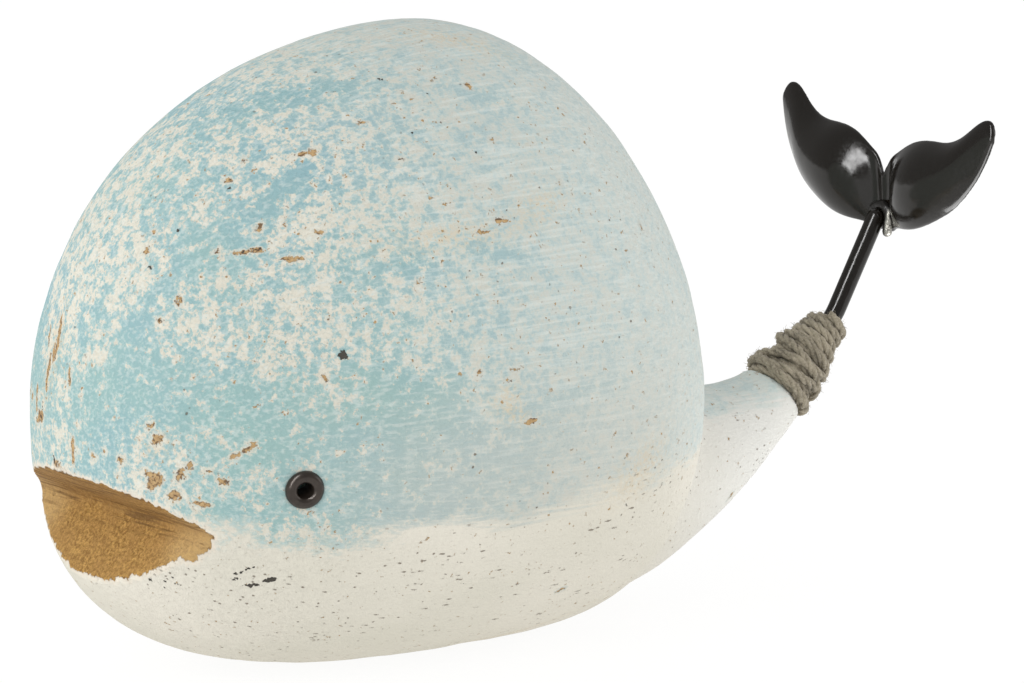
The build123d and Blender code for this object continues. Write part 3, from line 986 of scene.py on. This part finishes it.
# %% Twisted plies
def twine_tree():
    """Geometry Nodes that turn a line into twisted, hairy twine."""
    tree = bpy.data.node_groups.new("twisted_twine", "GeometryNodeTree")
    face = tree.interface
    face.new_socket("Geometry", in_out="INPUT", socket_type="NodeSocketGeometry")
    for name in ("Cord radius", "Lay", "Hair density", "Hair length"):
        face.new_socket(name, in_out="INPUT", socket_type="NodeSocketFloat")
    face.new_socket("Finish", in_out="INPUT", socket_type="NodeSocketMaterial")
    face.new_socket("Geometry", in_out="OUTPUT", socket_type="NodeSocketGeometry")
    given = add(tree, "NodeGroupInput").outputs

    line = add(tree, "GeometryNodeResampleCurve", {
        "Curve": given["Geometry"], "Length": 0.3 * MM,
    }, mode="LENGTH")
    travelled = add(tree, "GeometryNodeSplineParameter").outputs["Length"]
    turns = add(tree, MATH, {0: travelled, 1: given["Lay"]}, operation="DIVIDE")
    tangent = add(tree, "GeometryNodeInputTangent")
    normal = add(tree, "GeometryNodeInputNormal")
    across = add(tree, VECTOR, {0: tangent, 1: normal}, operation="CROSS_PRODUCT")
    ply_offset = add(tree, MATH, {0: given["Cord radius"], 1: 0.48}, operation="MULTIPLY")
    ply_radius = add(tree, MATH, {0: given["Cord radius"], 1: 0.56}, operation="MULTIPLY")
    ring = add(tree, "GeometryNodeCurvePrimitiveCircle", {"Resolution": 8, "Radius": ply_radius})
    plies = add(tree, "GeometryNodeJoinGeometry")
    for ply in range(3):
        angle = add(tree, MATH, {
            0: turns, 1: 2 * math.pi, 2: 2 * math.pi * ply / 3,
        }, operation="MULTIPLY_ADD")
        cosine = add(tree, MATH, {0: angle}, operation="COSINE")
        sine = add(tree, MATH, {0: angle}, operation="SINE")
        outward = add(tree, VECTOR, {0: normal, "Scale": cosine}, operation="SCALE")
        sideways = add(tree, VECTOR, {0: across, "Scale": sine}, operation="SCALE")
        spoke = add(tree, VECTOR, {0: outward, 1: sideways}, operation="ADD")
        offset = add(tree, VECTOR, {0: spoke, "Scale": ply_offset}, operation="SCALE")
        ply_line = add(tree, "GeometryNodeSetPosition", {"Geometry": line, "Offset": offset})
        tube = add(tree, "GeometryNodeCurveToMesh", {
            "Curve": ply_line, "Profile Curve": ring, "Fill Caps": True,
        })
        tree.links.new(tube.outputs[0], plies.inputs[0])
    yarn = add(tree, NOISE, {"Scale": 1 / (1.1 * MM), "Detail": 3.0, "Roughness": 0.6})
    swell = add(tree, MATH, {0: yarn, 1: 0.7 * MM, 2: -0.35 * MM}, operation="MULTIPLY_ADD")
    outwards = add(tree, "GeometryNodeInputNormal")
    puff = add(tree, VECTOR, {0: outwards, "Scale": swell}, operation="SCALE")
    swollen = add(tree, "GeometryNodeSetPosition", {"Geometry": plies, "Offset": puff})

    # Stray fibres: thin bent hairs that stand off the plies
    spots = add(tree, "GeometryNodeDistributePointsOnFaces", {
        "Mesh": swollen, "Density": given["Hair density"], "Seed": 5,
    })
    hair_arc = add(tree, "GeometryNodeCurvePrimitiveBezierSegment", {
        "Resolution": 2, "Start": (0, 0, 0), "Start Handle": (0, 0, 0.4),
        "End Handle": (0.4, 0, 0.6), "End": (1.0, 0, 0.7),
    })
    hair_ring = add(tree, "GeometryNodeCurvePrimitiveCircle", {"Resolution": 3, "Radius": 0.035})
    hair = add(tree, "GeometryNodeCurveToMesh", {
        "Curve": hair_arc, "Profile Curve": hair_ring, "Fill Caps": True,
    })
    turn = add(tree, "FunctionNodeRandomValue", {
        "Min": (-0.7, -0.7, 0), "Max": (0.7, 0.7, 6.28), "Seed": 9,
    }, data_type="FLOAT_VECTOR")
    stand = add(tree, "FunctionNodeRotateRotation", {
        "Rotation": spots.outputs["Rotation"], "Rotate By": turn,
    }, rotation_space="LOCAL")
    size = add(tree, "FunctionNodeRandomValue", {
        "Min": 0.35, "Max": 1.0, "Seed": 11,
    }, data_type="FLOAT")
    size = add(tree, MATH, {0: size, 1: given["Hair length"]}, operation="MULTIPLY")
    hairs = add(tree, "GeometryNodeInstanceOnPoints", {
        "Points": spots, "Instance": hair, "Rotation": stand, "Scale": size,
    })
    together = add(tree, "GeometryNodeJoinGeometry", {"Geometry": swollen})
    tree.links.new(hairs.outputs[0], together.inputs[0])
    real = add(tree, "GeometryNodeRealizeInstances", {"Geometry": together})
    dressed = add(tree, "GeometryNodeSetMaterial", {
        "Geometry": real, "Material": given["Finish"],
    })
    add(tree, "NodeGroupOutput", {"Geometry": dressed})
    return tree


def jute():
    """Undyed jute: dull, grey-brown, darker between the fibres, with painted shade between the plies.
    """
    material, tree, shader = new_material("undyed_jute_twine")
    place = add(tree, "ShaderNodeTexCoord").outputs["Object"]
    fibre = add(tree, NOISE, {
        "Vector": place, "Scale": 1 / (0.45 * MM), "Detail": 4.0, "Roughness": 0.7,
    })
    patch = add(tree, NOISE, {"Vector": place, "Scale": 1 / (4 * MM), "Detail": 2.0})
    # Painted shade and light: the hollows between the plies are darker and the crowns paler
    painted_crevice_shade = add(tree, "ShaderNodeNewGeometry").outputs["Pointiness"]
    painted_crevice_shade = add(tree, RANGE, {"Value": painted_crevice_shade, "From Min": 0.44, "From Max": 0.56})
    share = -0.1
    for mask, weight in [(fibre, 0.55), (patch, 0.3), (painted_crevice_shade, 0.4)]:
        share = add(tree, MATH, {0: mask, 1: weight, 2: share}, operation="MULTIPLY_ADD")
    share = add(tree, RANGE, {"Value": share, "From Min": 0.49, "From Max": 0.79})
    # The dark colour is partly the jute's own tone and, through the crevice share, partly painted
    # shade
    shade = add(tree, MIX, {
        "Factor": share, "A": colour("#2F2A21"), "B": colour("#ADA38F"),
    }, data_type="RGBA")
    bump = add(tree, BUMP, {"Height": fibre, "Distance": 0.13 * MM})
    plug(tree, shader, {
        "Base Color": shade, "Normal": bump,
        "Roughness": 0.9, "Sheen Weight": 0.15, "Specular IOR Level": 0.2,
    })
    return material


# %% Wind the twine
jute_finish = jute()
binding = show("binding_line", binding_line)
winding = binding.modifiers.new("twisted_twine", "NODES")
winding.node_group = twine_tree()
set_inputs(winding, {
    "Cord radius": cord_radius * MM,
    "Lay": 7.5 * MM,
    "Hair density": 0.8 / MM ** 2,
    "Hair length": 0.9 * MM,
    "Finish": jute_finish,
})
hand_in(settle(binding, "twine_binding"), "twine", jute_finish, "twine_wrap")

# %% [markdown]
# ## Floor and light
#
# The ornament is shown on white, in even light. The floor is a white sheet that
# shows white to the camera and keeps a trace of shadow. It also glows a little
# for every ray, so it lights the object softly from below, though it is no lamp.
# Three soft lamps fill the form from the left, from behind and from the right.
# Gloss shows what it mirrors, so a tall narrow panel and a small card low in
# front of the tail are there for the enamel alone, as a photographer sets them
# for black metal.

# %% Floor
floor_reach = 6.0
floor_mesh = bpy.data.meshes.new("floor")
floor_corners = [(-1, -1), (1, -1), (1, 1), (-1, 1)]
floor_mesh.from_pydata([(x * floor_reach, y * floor_reach, 0) for x, y in floor_corners],
                       [], [(0, 1, 2, 3)])
floor = show("floor", floor_mesh)


# The paper's glow reaches every ray, so it lights the object from below though it is no lamp
paper_glow, glow_share, more_if_seen = 1.05, 0.58, 0.26


def glowing_white_paper():
    """White paper that glows: white to the camera, a soft light from below on the object, and a trace
    of shadow.
    """
    material, tree, shader = new_material("glowing_white_paper")
    plug(tree, shader, {
        "Base Color": colour("#F4F4F2"), "Roughness": 0.9, "Specular IOR Level": 0.0,
    })
    glow = add(tree, "ShaderNodeEmission", {"Color": (1, 1, 1, 1), "Strength": paper_glow})
    seen = add(tree, "ShaderNodeLightPath").outputs["Is Camera Ray"]
    share = add(tree, MATH, {0: seen, 1: more_if_seen, 2: glow_share}, operation="MULTIPLY_ADD")
    both = add(tree, "ShaderNodeMixShader", {0: share, 1: shader.outputs["BSDF"], 2: glow})
    output = next(node for node in tree.nodes if node.type == "OUTPUT_MATERIAL")
    plug(tree, output, {"Surface": both})
    return material


floor.data.materials.append(glowing_white_paper())

# %% World and lamps
world = bpy.data.worlds.new("studio")
bpy.context.scene.world = world
world.use_nodes = True
sky = world.node_tree
ray = add(sky, "ShaderNodeLightPath").outputs
on_wood, in_gloss, in_view = 0.76, 0.32, 1.0
level = add(sky, MIX, {"Factor": ray["Is Glossy Ray"], "A": on_wood, "B": in_gloss})
level = add(sky, MIX, {"Factor": ray["Is Camera Ray"], "A": level, "B": in_view})
background = next(node for node in sky.nodes if node.type == "BACKGROUND")
plug(sky, background, {"Color": (1, 1, 1, 1), "Strength": level})


def soft_lamp(name, place, aim, width, height, power):
    """A rectangular soft light, aimed at a point."""
    lamp = show(name, bpy.data.lights.new(name, "AREA"))
    lamp.data.shape = "RECTANGLE"
    lamp.data.size = width
    lamp.data.size_y = height
    lamp.data.energy = power
    lamp.location = place
    lamp.rotation_euler = (Vector(aim) - Vector(place)).to_track_quat("-Z", "Y").to_euler()
    return lamp


middle = (0.0, 0.0, 0.06)
tail_end = (0.12, 0.0, 0.09)
left = soft_lamp("left", (-1.4, -0.7, 0.7), middle, 1.0, 1.0, 7)
behind = soft_lamp("behind", (-1.1, 0.9, 0.5), middle, 1.0, 1.0, 6.5)
left.visible_glossy = behind.visible_glossy = False
soft_lamp("right", (1.2, -0.9, 0.5), middle, 0.8, 0.8, 4)
panel = soft_lamp("panel", (-1.0, -0.41, 0.55), tail_end, 0.3, 1.9, 24)
card = soft_lamp("card", (0.125, -0.085, 0.003), (0.125, -0.085, 1.0), 0.08, 0.14, 0.21)
panel.visible_diffuse = card.visible_diffuse = False
card.visible_camera = False
bpy.context.scene.view_settings.view_transform = "Standard"
